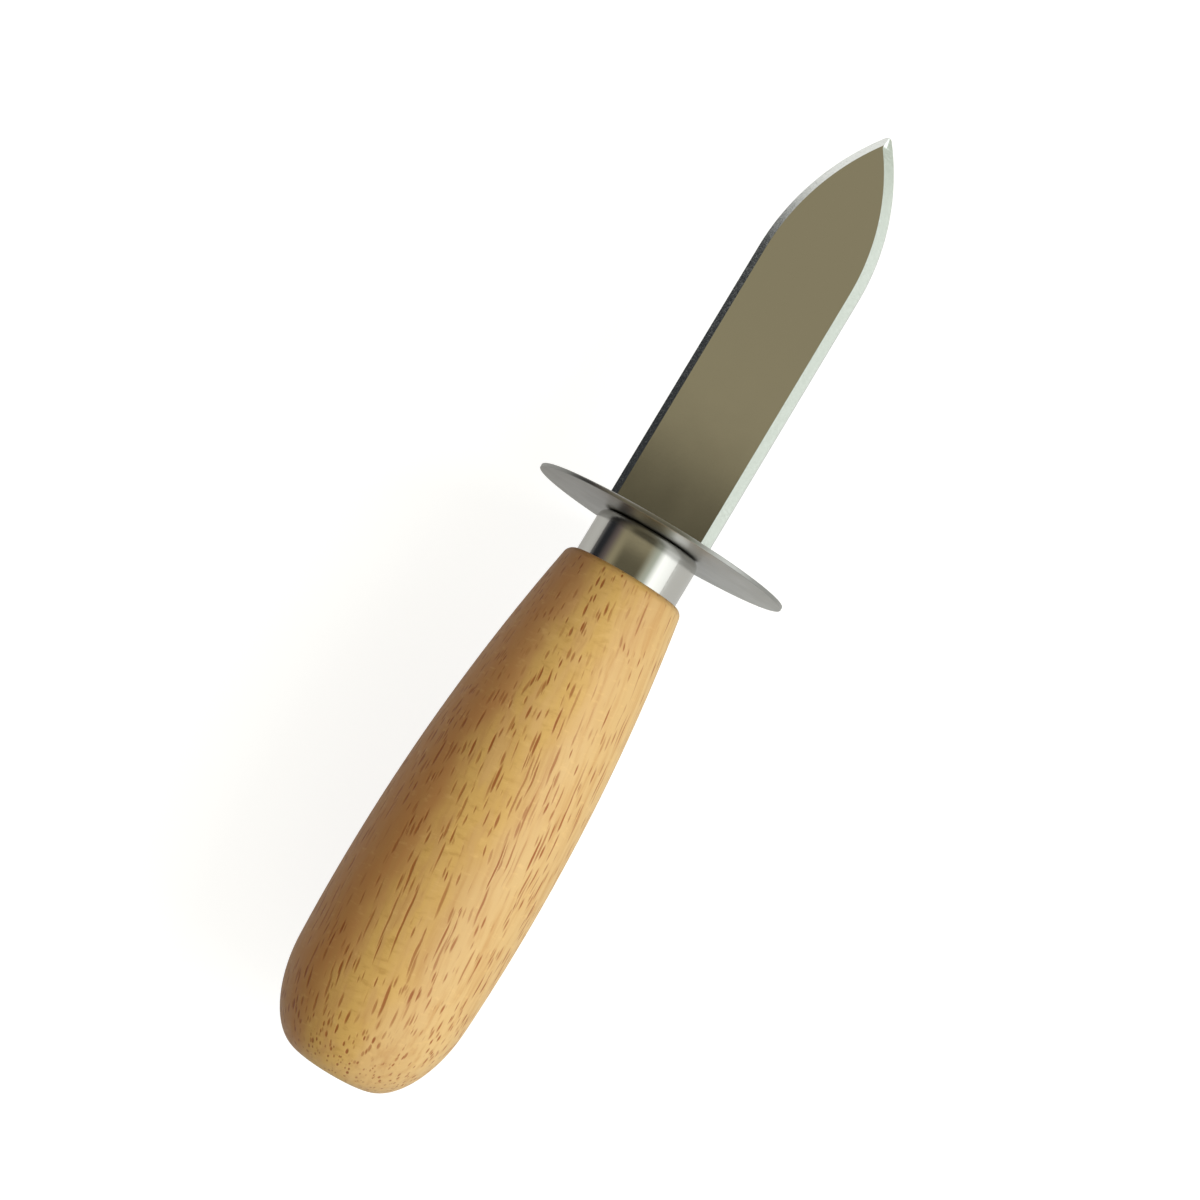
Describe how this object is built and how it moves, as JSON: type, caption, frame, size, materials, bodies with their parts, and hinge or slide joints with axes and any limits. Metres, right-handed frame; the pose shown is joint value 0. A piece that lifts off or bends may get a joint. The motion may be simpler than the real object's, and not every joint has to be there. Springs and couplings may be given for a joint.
{
  "type": "oyster knife",
  "caption": "Short spear-point oyster knife with a turned wooden handle, a drawn steel ferrule and a round hand guard.",
  "frame": {"origin": "centre of the butt face of the handle", "axes": "+X runs from the butt to the tip, +Z is square to the blade's flat"},
  "size_m": [0.155, 0.0399, 0.04],
  "materials": {
    "blade_steel": "polished, with finely scratched ground bevels",
    "guard_steel": "satin",
    "ferrule_steel": "polished",
    "handle_wood": "thin satin lacquer over open pores",
    "adhesive": "cast, hidden"
  },
  "bodies": {
    "root": {"blade": "blade_steel", "hand_guard": "guard_steel", "ferrule": "ferrule_steel", "handle": "handle_wood", "tang_adhesive": "adhesive"}
  },
  "joints": []
}
